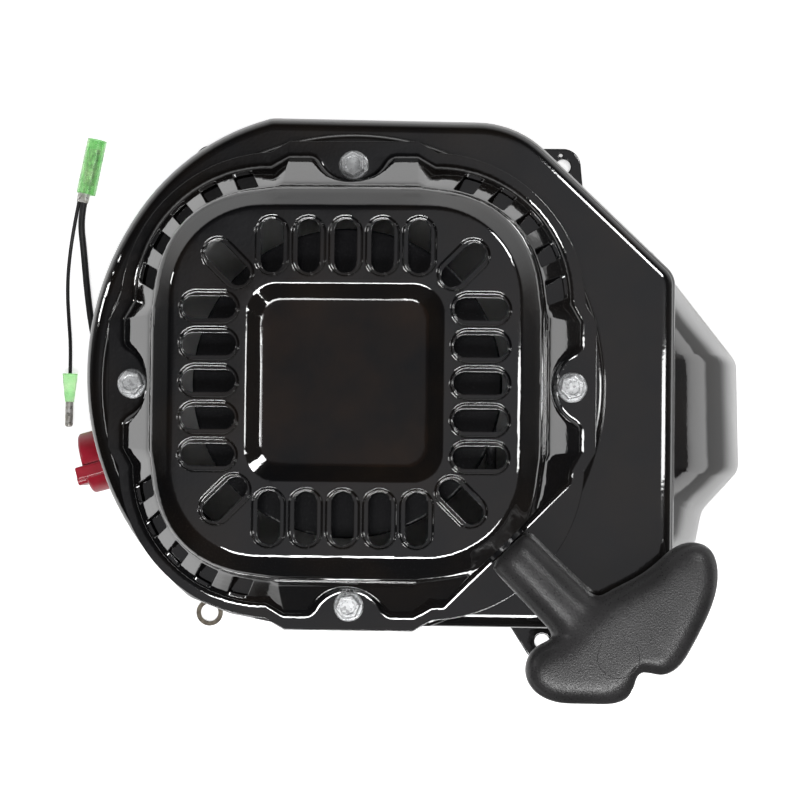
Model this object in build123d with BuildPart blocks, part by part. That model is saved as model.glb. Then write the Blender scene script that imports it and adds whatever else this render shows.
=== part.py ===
from build123d import *
import os
from math import acos, cos, pi, radians, sin, tan

os.makedirs("parts", exist_ok=True)

# A recoil (pull) starter bolted to the sheet-metal blower housing of a small
# petrol engine, with the stop switch and its leads. The origin is on the
# crankshaft's axis, in the plane of the housing's open rear rim. +Z runs along
# the shaft to the front, +X to the side with the pull handle's long lobe.

# --- blower housing ---------------------------------------------------------
housing_depth = 72.0        # rear rim to front face
housing_sheet = 1.5
pad_r = 113.5               # raised round seat for the starter
pad_rise = 3.0
seat_margin = 7.8           # width of the front face to the left of the seat
housing_left_r = pad_r + seat_margin
housing_top = 120.0
housing_right = 145.0
housing_bottom = -108.0
housing_edge_r = 6.0        # pressed radius round the front face
air_opening_r = 95.0
duct_reach = 32.8           # the air duct stands this far out of the right side
duct_rim = 10.0             # upright part of the duct's wall at the rear rim

# --- recoil cover -----------------------------------------------------------
cover_sheet = 1.6
flange_z = housing_depth + pad_rise
shoulder_z = 106.0
plateau_z = 119.0
flange_half, flange_corner_r = 104.9, 70.4
lobe_reach, lobe_top, lobe_foot = 109.9, 28.8, 37.4
foot_half, foot_corner_r = 99.1, 61.2
shoulder_half, shoulder_corner_r = 84.8, 41.6
plateau_half, plateau_corner_r = 76.3, 40.0
bolt_circle_r = 99.0        # four M6 bolts, on the X and Y axes
bolt_pocket_r = 17.5
bolt_pocket_shift = 9.0     # the pocket's centre is this far outside the bolt
facet_distance = 98.4       # flat at the lower right corner, for the rope guide
facet_angle = -45.0
window_width, window_pitch_deg = 8.5, 8.6
window_corners = (42.5, 135, 225)
shoulder_r, pocket_rim_r, foot_r, plateau_edge_r = 6.0, 4.0, 3.0, 3.0   # pressed radii
slot_long, slot_wide = 23.4, 9.7
slot_rim = 2.7              # recessed rim round each slot
slot_rim_depth = 1.0
slot_row, slot_pitch = 59.1, 16.05
slot_diagonal_r = 72.5
badge_outer, badge_inner, badge_depth = 86.0, 72.0, 3.5

# --- reel, spring, rope and ratchet ----------------------------------------
rope_z = 96.0
rope_d = 4.5
reel_r = 68.0
reel_root_r = 52.0
reel_top, reel_bottom = 103.5, 88.3
reel_well_r = 44.0
reel_well_floor = 97.7
reel_rim_z = 111.5
journal_r = 8.0
running_gap = 0.05
pawl_pivot_r = 30.0
pawl_lift_deg = 25.0
plate_turn_deg = 20.0

# --- pull handle ------------------------------------------------------------
neck_start = 101.2          # distance of the neck's end from the shaft
neck_r0, neck_r1 = 12.0, 12.8
grip_thickness = 28.0

# --- stop switch ------------------------------------------------------------
switch_angle = 196.0
switch_z = 34.0
knob_r = 14.2
knob_lift = 11.5            # face of the knob above the housing's wall

pull = Vector(cos(radians(facet_angle)), sin(radians(facet_angle)), 0)
pull_side = Vector(-pull.Y, pull.X, 0)


def cord_radii(points, diameter):
    """Arc radius at each corner of a cord's route, as large as its runs allow."""
    radii = []
    for before, at, after in zip(points, points[1:], points[2:]):
        run_in, run_out = Vector(*at) - Vector(*before), Vector(*after) - Vector(*at)
        half_turn = radians(run_in.get_angle(run_out)) / 2
        radii.append(0.45 * min(run_in.length, run_out.length) / tan(half_turn))
    print("cord radii in diameters", [round(r / diameter, 1) for r in radii])
    return radii


# ============================ blower housing ================================
with BuildSketch() as housing_outline:
    with BuildLine():
        # the left side is two arcs, wider towards the top
        side_arc = ThreePointArc((-0.6 * housing_left_r, -0.795 * housing_left_r),
                                 (-housing_left_r, 8),
                                 (-0.7815 * housing_left_r, 0.6925 * housing_left_r))
        top_arc = ThreePointArc(side_arc @ 1, (-0.61 * housing_left_r, 0.861 * housing_left_r),
                                (-38, housing_top + 1.6))
        Polyline(top_arc @ 1, (73, housing_top - 0.3), (housing_right, housing_top - 68.6),
                 (housing_right, housing_bottom), (-30, housing_bottom),
                 (-54, housing_bottom + 4.4), side_arc @ 0)
    make_face()
    for corner, corner_r in (((housing_right, housing_bottom), 28),
                             ((housing_right, housing_top - 68.6), 11),
                             ((73, housing_top - 0.3), 45), ((-38, housing_top + 1.6), 12),
                             (side_arc @ 1, 20), (side_arc @ 0, 12),
                             ((-54, housing_bottom + 4.4), 20), ((-30, housing_bottom), 14)):
        nearest = housing_outline.vertices().sort_by_distance(Vector(*corner))[0]
        fillet(nearest, corner_r)


def duct_section(z, reach, inset):
    """The air duct's outline at one height, standing out of the right side by reach."""
    share = max(reach, 0) / duct_reach
    points = [(housing_right + x, y) for x, y in (
        (-9, 58 + 8 * share), (reach - 1.4 * share, 14.8), (reach, -36.2),
        (0.48 * reach, -50 - 5 * share), (0.38 * reach, -66 - 7 * share), (-9, -80 - 10 * share))]
    with BuildSketch(Plane.XY.offset(z)) as section:
        with BuildLine():
            Polyline(*points, close=True)
        make_face()
        if inset:
            offset(amount=-inset, kind=Kind.INTERSECTION)
        for point, turn_r in zip(points[1:5], (8, 8, 10, 14)):
            fillet(section.vertices().sort_by_distance(Vector(*point, z))[0], turn_r)
    return section.sketch


def housing_form(inset):
    """Solid inside the housing's skin, inset from its outer face."""
    with BuildPart() as form:
        with BuildSketch():
            add(housing_outline.sketch)
            offset(amount=-inset, kind=Kind.ARC) if inset else None
        extrude(amount=housing_depth - inset)
        front_edges = form.faces().sort_by(Axis.Z)[-1].edges()
        fillet(front_edges, housing_edge_r - inset)
        # the air duct on the right side: flush at the front, widest at the rear rim
        for z, reach in ((duct_rim, duct_reach), (38, 0.70 * duct_reach),
                         (57, 0.28 * duct_reach), (housing_depth - housing_edge_r, -0.5)):
            add(duct_section(z, reach, inset))
        loft()
        add(duct_section(0, duct_reach, inset))
        extrude(amount=duct_rim)
        # raised round seat, run out over the lower edge
        with BuildSketch(Plane.XY.offset(housing_depth - 14)):
            Circle(pad_r - inset)
            with BuildSketch(mode=Mode.PRIVATE) as inside:
                add(housing_outline.sketch)
                offset(amount=-0.4 - inset, kind=Kind.ARC)
            add(inside.sketch, mode=Mode.INTERSECT)
        extrude(amount=14 + pad_rise - inset)
        fillet(form.faces().sort_by(Axis.Z)[-1].outer_wire().edges(), 2.2 - inset)
    return form.part


housing_outside = housing_form(0)
housing_inside = housing_form(housing_sheet)
switch_r = housing_left_r - 1.05    # the wall's distance from the shaft at the switch
switch_plane = Plane(
    origin=(switch_r * cos(radians(switch_angle)), switch_r * sin(radians(switch_angle)), switch_z),
    x_dir=(0, 0, 1),
    z_dir=(cos(radians(switch_angle)), sin(radians(switch_angle)), 0))

with BuildPart() as blower_housing:
    add(housing_outside)
    add(housing_inside, mode=Mode.SUBTRACT)
    with BuildSketch(Plane.XY.offset(flange_z)):
        Circle(air_opening_r)
    extrude(amount=-12, mode=Mode.SUBTRACT)
    # four clear holes for the starter's bolts
    with BuildSketch(Plane.XY.offset(flange_z)):
        with PolarLocations(bolt_circle_r, 4):
            Circle(3.3)
    extrude(amount=-6, mode=Mode.SUBTRACT)
    # hole for the stop switch's bush
    with BuildSketch(switch_plane.offset(-12)):
        Circle(6.1)
    extrude(amount=24, mode=Mode.SUBTRACT)
    # two notches in the rear rim, where the leads come out
    with BuildSketch(Plane.XY):
        with Locations(Location((0.8 - housing_left_r, 12.4, 0), 153)):
            Rectangle(16, 9)
        with Locations(Location((-69.6, housing_bottom + 10.2, 0), 250)):
            Rectangle(18, 9)
    extrude(amount=6, mode=Mode.SUBTRACT)
blower_housing.part.label = "blower_housing"
export_step(blower_housing.part, "parts/blower_housing.step")

# ============================ mounting ears =================================
# flat ears welded to the rear rim, each with a hole for an M6 screw
ear_thickness = 2.5
ear_hole_r = 3.6


def mounting_ear(hole, foot_a, foot_b, tip_r):
    """Flat ear from two points inside the housing's wall out to its hole."""
    with BuildPart() as ear:
        with BuildSketch():
            with Locations(hole):
                Circle(tip_r)
            with Locations(foot_a, foot_b):
                Circle(3)
            make_hull()
        extrude(amount=ear_thickness)
        add(housing_outside, mode=Mode.SUBTRACT)
        add(housing_inside, mode=Mode.SUBTRACT)
        with BuildSketch():
            with Locations(hole):
                Circle(ear_hole_r)
        extrude(amount=ear_thickness, mode=Mode.SUBTRACT)
    return ear.part


ear_top_right_hole = (94.3, housing_top - 12.4)
ear_top_left_hole = (-74.0, housing_top - 11.0)
ear_lower_right_hole = (86.5, housing_bottom - 10.0)

with BuildPart() as ear_top_right:
    add(mounting_ear(ear_top_right_hole, (74, housing_top - 7), (102, housing_top - 36), 8.4))
    with BuildSketch():
        with Locations((93.2, housing_top - 7.0)):
            Circle(0.9)
    extrude(amount=ear_thickness, mode=Mode.SUBTRACT)
ear_top_right.part.label = "ear_top_right"
export_step(ear_top_right.part, "parts/ear_top_right.step")

with BuildPart() as ear_top_left:
    add(mounting_ear(ear_top_left_hole, (-86, housing_top - 34), (-58, housing_top - 13), 8.0))
ear_top_left.part.label = "ear_top_left"
export_step(ear_top_left.part, "parts/ear_top_left.step")

with BuildPart() as ear_lower_right:
    add(mounting_ear(ear_lower_right_hole, (71, housing_bottom + 3), (100, housing_bottom + 3), 9.0))
ear_lower_right.part.label = "ear_lower_right"
export_step(ear_lower_right.part, "parts/ear_lower_right.step")

# ============================ recoil cover ==================================
facet_plane = Plane(origin=pull * facet_distance + Vector(0, 0, rope_z),
                    x_dir=(0, 0, 1), z_dir=pull)
lobe_wall_foot = foot_half + 5.0


def cover_form(inset):
    """Solid inside the cover's skin above its flange, inset from its face."""
    with BuildPart() as form:
        with BuildSketch(Plane.XY.offset(flange_z)):
            RectangleRounded(2 * (foot_half - inset), 2 * (foot_half - inset),
                             foot_corner_r - inset)
        with BuildSketch(Plane.XY.offset(shoulder_z - inset)):
            RectangleRounded(2 * (shoulder_half - inset), 2 * (shoulder_half - inset),
                             shoulder_corner_r - inset)
        loft()
        # the wall runs out to a lobe beside each bolt
        for turn in range(4):
            side = Plane.XY.rotated((0, 0, 90 * turn))
            with BuildSketch(side.offset(flange_z)):
                Polygon((80, -lobe_foot - 4 + inset), (foot_half - inset, -lobe_foot + inset),
                        (lobe_wall_foot - inset, -lobe_top + inset),
                        (lobe_wall_foot - inset, lobe_top - inset),
                        (foot_half - inset, lobe_foot - inset), (80, lobe_foot + 4 - inset),
                        align=None)
            with BuildSketch(side.offset(shoulder_z - 0.5 - inset)):
                Polygon((80, -35 + inset), (shoulder_half - inset, -34 + inset),
                        (shoulder_half + 0.8 - inset, -30 + inset),
                        (shoulder_half + 0.8 - inset, 30 - inset),
                        (shoulder_half - inset, 34 - inset), (80, 35 - inset), align=None)
            loft()
        with BuildSketch(Plane.XY.offset(shoulder_z - inset)):
            RectangleRounded(2 * (shoulder_half - inset), 2 * (shoulder_half - inset),
                             shoulder_corner_r - inset)
        with BuildSketch(Plane.XY.offset(plateau_z - inset)):
            RectangleRounded(2 * (plateau_half - inset), 2 * (plateau_half - inset),
                             plateau_corner_r - inset)
        loft()
        fillet(form.faces().sort_by(Axis.Z)[-1].edges(), plateau_edge_r - inset)
        # a U-shaped pocket round each bolt, open to the outside
        pocket_r = bolt_pocket_r + inset
        for turn in range(4):
            side = Plane.XY.rotated((0, 0, 90 * turn))
            pocket_x = bolt_circle_r + bolt_pocket_shift
            with BuildSketch(side.offset(flange_z)):
                with Locations((pocket_x, 0)):
                    Circle(pocket_r)
                with Locations((pocket_x + 20, 0)):
                    Rectangle(40, 2 * pocket_r)
            extrude(amount=40, taper=-6, mode=Mode.SUBTRACT)
        rims = [edge for edge in form.edges()
                if edge.bounding_box().min.Z < flange_z + 3 and edge.length > 55
                and edge.bounding_box().max.Z > shoulder_z - 12]
        fillet(rims, pocket_rim_r - inset)
        shoulder_edges = form.edges().filter_by_position(
            Axis.Z, shoulder_z - inset - 0.05, shoulder_z - inset + 0.05)
        fillet(shoulder_edges, shoulder_r - inset)
        # flat for the rope guide, across the lower right corner
        with BuildSketch(facet_plane.offset(-inset)):
            Rectangle(90, 140)
        extrude(amount=60, mode=Mode.SUBTRACT)
        # square badge recess in the middle of the plateau, with sloping sides
        with BuildSketch(Plane.XY.offset(plateau_z - inset)):
            RectangleRounded(badge_outer + 2 * inset, badge_outer + 2 * inset, 13 + inset)
        with BuildSketch(Plane.XY.offset(plateau_z - badge_depth - inset)):
            RectangleRounded(badge_inner + 2 * inset, badge_inner + 2 * inset, 9 + inset)
        loft(mode=Mode.SUBTRACT)
        badge_edges = [edge for edge in form.edges()
                       if max(abs(edge.center().X), abs(edge.center().Y)) < badge_outer / 2 + 3
                       and edge.bounding_box().size.Z < 0.01]
        fillet([edge for edge in badge_edges if edge.center().Z > plateau_z - inset - 0.1],
               1.8 + inset)
        fillet([edge for edge in form.edges()
                if abs(edge.center().Z - (plateau_z - badge_depth - inset)) < 0.02
                and edge.bounding_box().size.Z < 0.01], 4.0 - inset)
    return form.part


cover_outside = cover_form(0)
cover_inside = cover_form(cover_sheet)

with BuildPart() as recoil_cover:
    with BuildSketch(Plane.XY.offset(flange_z)):
        RectangleRounded(2 * flange_half, 2 * flange_half, flange_corner_r)
        for turn in range(4):
            with Locations(Location((0, 0, 0), 90 * turn)):
                Polygon((90, -lobe_foot - 6), (flange_half, -lobe_foot),
                        (lobe_reach, -lobe_top), (lobe_reach, lobe_top),
                        (flange_half, lobe_foot), (90, lobe_foot + 6), align=None)
    extrude(amount=cover_sheet)
    add(cover_outside)
    # the pressed radius where the wall meets the flange
    fillet(recoil_cover.edges(Select.NEW).filter_by_position(
        Axis.Z, flange_z + cover_sheet - 0.01, flange_z + cover_sheet + 0.01), foot_r)
    add(cover_inside, mode=Mode.SUBTRACT)
    with BuildSketch(Plane.XY.offset(flange_z)):
        with PolarLocations(bolt_circle_r, 4):
            Circle(3.3)
    extrude(amount=cover_sheet, mode=Mode.SUBTRACT)
    # cooling windows punched through the steep wall at three corners
    for corner in window_corners:
        for step in (-2, -1, 0, 1, 2):
            angle = corner + step * window_pitch_deg
            wide = 10.0 if (corner, step) == (window_corners[0], -2) else window_width
            with BuildSketch(Plane(origin=(90 * cos(radians(angle)), 90 * sin(radians(angle)), 91.5),
                                   x_dir=(-sin(radians(angle)), cos(radians(angle)), 0),
                                   z_dir=(cos(radians(angle)), sin(radians(angle)), 0))):
                RectangleRounded(wide, 22, 1.5)
            extrude(amount=40, mode=Mode.SUBTRACT)
    # cooling slots in the plateau: five along each side and one to each corner
    slot_places = [Location((slot_row * cos(radians(a)) - slot_pitch * n * sin(radians(a)),
                             slot_row * sin(radians(a)) + slot_pitch * n * cos(radians(a)), 0), a)
                   for a in (0, 90, 180, 270) for n in (-2, -1, 0, 1, 2)]
    slot_places += [Location((slot_diagonal_r * cos(radians(a)),
                              slot_diagonal_r * sin(radians(a)), 0), a)
                    for a in (45, 135, 225, 315)]
    with BuildSketch(Plane.XY.offset(plateau_z)):
        with Locations(*slot_places):
            SlotOverall(slot_long + 3.2, slot_wide + 2 * slot_rim)
    extrude(amount=-slot_rim_depth, taper=40, mode=Mode.SUBTRACT)
    with BuildSketch(Plane.XY.offset(plateau_z)):
        with Locations(*slot_places):
            SlotOverall(slot_long, slot_wide)
    extrude(amount=-6, mode=Mode.SUBTRACT)
    # hole for the rope guide
    with BuildSketch(facet_plane):
        Circle(7.0)
    extrude(amount=-6, mode=Mode.SUBTRACT)
recoil_cover.part.label = "recoil_cover"
export_step(recoil_cover.part, "parts/recoil_cover.step")

# ============================ bolts and weld nuts ===========================
bolt_spots = [(bolt_circle_r, 0), (0, bolt_circle_r), (-bolt_circle_r, 0), (0, -bolt_circle_r)]
bolt_seat_z = flange_z + cover_sheet
nut_top_z = flange_z - housing_sheet

for number, spot in enumerate(bolt_spots, start=1):
    with BuildPart() as flange_bolt:
        with BuildSketch(Plane.XY.offset(nut_top_z - 7)):
            with Locations(spot):
                Circle(3.0)
        extrude(amount=bolt_seat_z - nut_top_z + 7)
        with BuildSketch(Plane.XY.offset(bolt_seat_z)):
            with Locations(spot):
                Circle(6.75)
        extrude(amount=1.6, taper=18)
        with BuildSketch(Plane.XY.offset(bolt_seat_z)):
            with Locations(spot):
                RegularPolygon(5.0, 6, major_radius=False, rotation=17 * number)
        extrude(amount=6.2)
        chamfer(flange_bolt.faces().sort_by(Axis.Z)[-1].edges(), 0.6)
        with BuildSketch(Plane.XY.offset(bolt_seat_z + 6.2)):
            with Locations(spot):
                Circle(3.4)
        extrude(amount=-0.7, mode=Mode.SUBTRACT)
    flange_bolt.part.label = f"flange_bolt_{number}"
    export_step(flange_bolt.part, f"parts/flange_bolt_{number}.step")

    with BuildPart() as weld_nut:
        with BuildSketch(Plane.XY.offset(nut_top_z)):
            with Locations(spot):
                RegularPolygon(5.0, 6, major_radius=False)
                Circle(3.0, mode=Mode.SUBTRACT)
        extrude(amount=-5.5)
    weld_nut.part.label = f"weld_nut_{number}"
    export_step(weld_nut.part, f"parts/weld_nut_{number}.step")

# ============================ centre post ===================================
badge_under_z = plateau_z - badge_depth - cover_sheet
post_foot_z = 86.3
barrel_r, barrel_foot_z = 13.0, 98.0
screw_shoulder_r = 4.0

with BuildPart() as centre_post:
    with BuildSketch(Plane.XZ):
        with BuildLine():
            Polyline((3.0, post_foot_z), (journal_r, post_foot_z), (journal_r, barrel_foot_z),
                     (barrel_r, barrel_foot_z), (barrel_r, reel_rim_z + 0.6),
                     (20, reel_rim_z + 0.6), (20, badge_under_z), (0, badge_under_z),
                     (0, 104), (3.0, 104), (3.0, post_foot_z))
        make_face()
    revolve(axis=Axis.Z)
    # slit that takes the hook of the recoil spring
    with BuildSketch(Plane.XY.offset(barrel_foot_z)):
        with Locations((11, 0)):
            Rectangle(6, 1.6)
    extrude(amount=reel_rim_z - barrel_foot_z, mode=Mode.SUBTRACT)
centre_post.part.label = "centre_post"
export_step(centre_post.part, "parts/centre_post.step")

# ============================ recoil spring =================================
# flat spiral strip between the post and the wall of the reel's well
spring_turns, spring_strip = 8, 0.9
spring_in, spring_out = barrel_r + 1.4, reel_well_r - 1.0
spring_base_z, spring_height = reel_well_floor + 0.8, 11.5
steps = 16 * spring_turns


def spiral_points(radial_shift):
    """Points along one face of the strip, from the post outwards."""
    return [((spring_in + (spring_out - spring_strip - spring_in) * n / steps + radial_shift)
             * cos(2 * pi * n / 16),
             (spring_in + (spring_out - spring_strip - spring_in) * n / steps + radial_shift)
             * sin(2 * pi * n / 16)) for n in range(steps + 1)]


with BuildPart() as recoil_spring:
    with BuildSketch(Plane.XY.offset(spring_base_z)):
        with BuildLine():
            inner_face = Spline(*spiral_points(0))
            outer_face = Spline(*spiral_points(spring_strip))
            Line(inner_face @ 0, outer_face @ 0)
            Line(inner_face @ 1, outer_face @ 1)
        make_face()
    extrude(amount=spring_height)
    with BuildSketch(Plane.XY.offset(spring_base_z)):
        with Locations(((spring_in + 9.6) / 2 + 0.2, 0)):
            Rectangle(spring_in - 9.6 + 0.8, spring_strip)
    extrude(amount=spring_height)
recoil_spring.part.label = "recoil_spring"
export_step(recoil_spring.part, "parts/recoil_spring.step")

# ============================ reel ==========================================
with BuildPart() as reel:
    with BuildSketch(Plane.XZ):
        with BuildLine():
            Polyline((journal_r + running_gap, reel_bottom), (reel_r, reel_bottom),
                     (reel_r, 90.6), (reel_root_r, 91.4), (reel_root_r, 100.6), (reel_r, 101.4),
                     (reel_r, reel_top), (reel_well_r + 2.5, reel_top),
                     (reel_well_r + 2.5, reel_rim_z), (reel_well_r, reel_rim_z),
                     (reel_well_r, reel_well_floor), (journal_r + running_gap, reel_well_floor),
                     (journal_r + running_gap, reel_bottom))
        make_face()
    revolve(axis=Axis.Z)
    # a ring pocket underneath, with six ribs left across it
    with BuildSketch(Plane.XY.offset(reel_bottom)):
        Circle(reel_root_r - 3)
        Circle(40, mode=Mode.SUBTRACT)
        with PolarLocations(44, 6, start_angle=30):
            Rectangle(14, 3, mode=Mode.SUBTRACT)
    extrude(amount=6, mode=Mode.SUBTRACT)
    # round holes for the pins of the two pawls
    with BuildSketch(Plane.XY.offset(reel_bottom)):
        with Locations((0, pawl_pivot_r), (0, -pawl_pivot_r)):
            Circle(3.0)
    extrude(amount=6, mode=Mode.SUBTRACT)
    outer_rims = reel.edges().filter_by(GeomType.CIRCLE).filter_by(
        lambda edge: abs(edge.radius - reel_r) < 0.01)
    fillet(outer_rims, 0.8)
reel.part.label = "reel"
export_step(reel.part, "parts/reel.step")

# ============================ starter rope ==================================
# the rope wound on the reel: three turns side by side on the root, two on top
rope_r = rope_d / 2
wound_rows = [(reel_root_r + rope_r, 93.8), (reel_root_r + rope_r, 98.2),
              (reel_root_r + 3 * rope_r - 0.5, rope_z)]
with BuildPart() as rope_on_reel:
    with BuildSketch(Plane.XZ):
        with Locations(*wound_rows):
            Circle(rope_r)
        with Locations((reel_root_r + rope_r + 0.8, rope_z)):
            Rectangle(rope_r, rope_d)
    revolve(axis=Axis.Z)
rope_on_reel.part.label = "rope_on_reel"
export_step(rope_on_reel.part, "parts/rope_on_reel.step")
winding_r = reel_root_r + 3 * rope_r - 0.5 + rope_r

# the straight stretch from the reel's edge to the guide
run_end = pull * (facet_distance - 8.0)
leave_r = winding_r + rope_r + 0.5
leave_angle = radians(facet_angle) + acos(leave_r / run_end.length)
leave = Vector(leave_r * cos(leave_angle), leave_r * sin(leave_angle), 0)
with BuildPart() as rope_run:
    run_vector = run_end - leave
    with BuildSketch(Plane(origin=leave + Vector(0, 0, rope_z), z_dir=run_vector)):
        Circle(rope_r)
    extrude(amount=run_vector.length)
rope_run.part.label = "rope_run"
export_step(rope_run.part, "parts/rope_run.step")

# ============================ rope guide ====================================
guide_bore_r = rope_r + 0.6
with BuildPart() as rope_guide:
    with BuildSketch(Plane(origin=pull * facet_distance + Vector(0, 0, rope_z),
                           x_dir=(0, 0, 1), z_dir=pull_side)):
        # local x is height, local y is distance along the pull
        with BuildLine():
            Polyline((guide_bore_r, 2.0), (10.0, 2.0), (10.0, 0.0), (7.0, 0.0), (7.0, -5.0),
                     (guide_bore_r + 1.6, -5.0), (guide_bore_r, -3.4), (guide_bore_r, 2.0))
        make_face()
    revolve(axis=Axis(pull * facet_distance + Vector(0, 0, rope_z), pull))
rope_guide.part.label = "rope_guide"
export_step(rope_guide.part, "parts/rope_guide.step")

# ============================ pull handle ===================================
# local x runs along the pull, away from the shaft; local y runs across it
grip_plane = Plane(origin=(0, 0, rope_z - grip_thickness / 2), x_dir=pull, z_dir=(0, 0, 1))
grip_outline = [(142.5, -16), (140.5, -26), (145.6, -33.6), (155, -35.6), (164.6, -31.6),
                (174.6, -21.8), (183.8, -9.8), (181.8, 2), (189.5, 13), (188.5, 25), (182, 44),
                (173.6, 57.3), (161.0, 63.2), (152.6, 56), (151, 42), (148.5, 28), (145, 16)]
knot_seat = 166.0
pocket_r = 8.5
handle_bore_r = rope_r + 0.5

with BuildPart() as handle_grip:
    with BuildSketch(grip_plane):
        with BuildLine():
            Spline(*grip_outline, periodic=True)
        make_face()
    extrude(amount=grip_thickness)
    fillet(handle_grip.edges().filter_by(Plane.XY), 6.5)
    # tapered neck
    with BuildSketch(Plane(origin=pull * neck_start + Vector(0, 0, rope_z), z_dir=pull)):
        Circle(neck_r0)
    with BuildSketch(Plane(origin=pull * 152 + Vector(0, 0, rope_z), z_dir=pull)):
        Circle(neck_r1)
    loft()
    # bore for the rope, and the pocket that hides its knot
    with BuildSketch(Plane(origin=pull * (neck_start - 1) + Vector(0, 0, rope_z), z_dir=pull)):
        Circle(handle_bore_r)
    extrude(amount=knot_seat - neck_start + 5, mode=Mode.SUBTRACT)
    with BuildSketch(Plane(origin=pull * knot_seat + Vector(0, 0, rope_z), z_dir=pull)):
        Circle(pocket_r)
    extrude(amount=40, mode=Mode.SUBTRACT)
    # faint round witness ring over the pocket
    with BuildSketch(grip_plane.offset(grip_thickness)):
        with Locations((knot_seat + 2, 1.5)):
            Circle(9.4)
            Circle(8.8, mode=Mode.SUBTRACT)
    extrude(amount=-0.5, mode=Mode.SUBTRACT)
handle_grip.part.label = "handle_grip"
export_step(handle_grip.part, "parts/handle_grip.step")

with BuildPart() as knot_washer:
    with BuildSketch(Plane(origin=pull * knot_seat + Vector(0, 0, rope_z), z_dir=pull)):
        Circle(pocket_r - 0.3)
        Circle(handle_bore_r, mode=Mode.SUBTRACT)
    extrude(amount=1.5)
knot_washer.part.label = "knot_washer"
export_step(knot_washer.part, "parts/knot_washer.step")

knot_r = 5.6
knot_middle = knot_seat + 1.6 + knot_r - 0.6
with BuildPart() as rope_tail:
    with BuildSketch(Plane(origin=pull * 92.6 + Vector(0, 0, rope_z), z_dir=pull)):
        Circle(rope_r)
    extrude(amount=knot_middle - 92.6)
    with Locations(pull * knot_middle + Vector(0, 0, rope_z)):
        Sphere(knot_r)
    with BuildSketch(Plane(origin=pull * (knot_seat + 1.6) + Vector(0, 0, rope_z), z_dir=-pull)):
        Circle(pocket_r)
        Circle(rope_r, mode=Mode.SUBTRACT)
    extrude(amount=3, mode=Mode.SUBTRACT)
    with BuildSketch(Plane(origin=pull * knot_middle + Vector(0, 0, rope_z), z_dir=pull)):
        Circle(rope_r)
    extrude(amount=knot_r + 3)
rope_tail.part.label = "rope_tail"
export_step(rope_tail.part, "parts/rope_tail.step")

# ============================ pawls and friction plate ======================
pawl_top, pawl_bottom = reel_bottom - 0.4, reel_bottom - 5.4
plate_top, plate_bottom = 81.5, 78.0
drive_pin = (15.0, -1.5)    # from the pawl's pivot

for number, half_turn in ((1, 0), (2, 180)):
    at = Plane.XY.rotated((0, 0, half_turn))
    with BuildPart() as pawl:
        with BuildSketch(at.offset(pawl_bottom)):
            with Locations((0, pawl_pivot_r)):
                Circle(5.5)
            with Locations((25, pawl_pivot_r - 3)):
                Circle(2.6)
            make_hull()
            with Locations((0, pawl_pivot_r)):
                Circle(3.0 + running_gap, mode=Mode.SUBTRACT)
        extrude(amount=pawl_top - pawl_bottom)
        with BuildSketch(at.offset(plate_bottom - 0.4)):
            with Locations((drive_pin[0], pawl_pivot_r + drive_pin[1])):
                Circle(2.0)
        extrude(amount=pawl_bottom - plate_bottom + 0.4)
    pawl.part.label = f"pawl_{number}"
    export_step(pawl.part, f"parts/pawl_{number}.step")

    with BuildPart() as pawl_pin:
        with BuildSketch(at.offset(pawl_bottom - 0.3)):
            with Locations((0, pawl_pivot_r)):
                Circle(3.0)
        extrude(amount=reel_bottom + 6 - pawl_bottom + 0.3)
        with BuildSketch(at.offset(pawl_bottom - 0.3)):
            with Locations((0, pawl_pivot_r)):
                Circle(4.6)
        extrude(amount=-0.7)
    pawl_pin.part.label = f"pawl_pin_{number}"
    export_step(pawl_pin.part, f"parts/pawl_pin_{number}.step")

with BuildPart() as friction_plate:
    with BuildSketch(Plane.XY.offset(plate_bottom)):
        for half_turn in (0, 180):
            with Locations(Location((0, 0, 0), half_turn)):
                with Locations((0, 0)):
                    Circle(15)
                with Locations((15, 28.4), (25.3, 28.4)):
                    Circle(6)
        make_hull()
        # the two waists of the S-shaped plate
        with Locations(Location((-24, 20, 0), 0), Location((24, -20, 0), 0)):
            Circle(14, mode=Mode.SUBTRACT)
        with Locations(Location((20.15, 28.4, 0), 0), Location((-20.15, -28.4, 0), 0)):
            SlotCenterToCenter(10.3, 5.4, mode=Mode.SUBTRACT)
    extrude(amount=plate_top - plate_bottom)
    with BuildSketch(Plane.XY.offset(plate_top)):
        Circle(8.0)
    extrude(amount=post_foot_z - 0.3 - plate_top)
    with BuildSketch(Plane.XY.offset(plate_bottom)):
        Circle(screw_shoulder_r + running_gap)
    extrude(amount=20, mode=Mode.SUBTRACT)
friction_plate.part.label = "friction_plate"
export_step(friction_plate.part, "parts/friction_plate.step")

with BuildPart() as friction_spring:
    with BuildLine():
        CenterArc((0, 0, 83.8), 9.1, 20, 310)
    with BuildSketch(Plane(origin=(9.1 * cos(radians(20)), 9.1 * sin(radians(20)), 83.8),
                           z_dir=(-sin(radians(20)), cos(radians(20)), 0))):
        Circle(0.8)
    sweep()
friction_spring.part.label = "friction_spring"
export_step(friction_spring.part, "parts/friction_spring.step")

with BuildPart() as centre_screw:
    with BuildSketch(Plane.XZ):
        with BuildLine():
            Polyline((0, 76.2), (8, 76.2), (8, 77.7), (screw_shoulder_r, 77.7),
                     (screw_shoulder_r, post_foot_z), (3, post_foot_z), (3, 102.5),
                     (0, 102.5), (0, 76.2))
        make_face()
    revolve(axis=Axis.Z)
    with BuildSketch(Plane.XY.offset(76.2)):
        RegularPolygon(5.0, 6, major_radius=False)
    extrude(amount=-4.4)
centre_screw.part.label = "centre_screw"
export_step(centre_screw.part, "parts/centre_screw.step")

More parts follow.
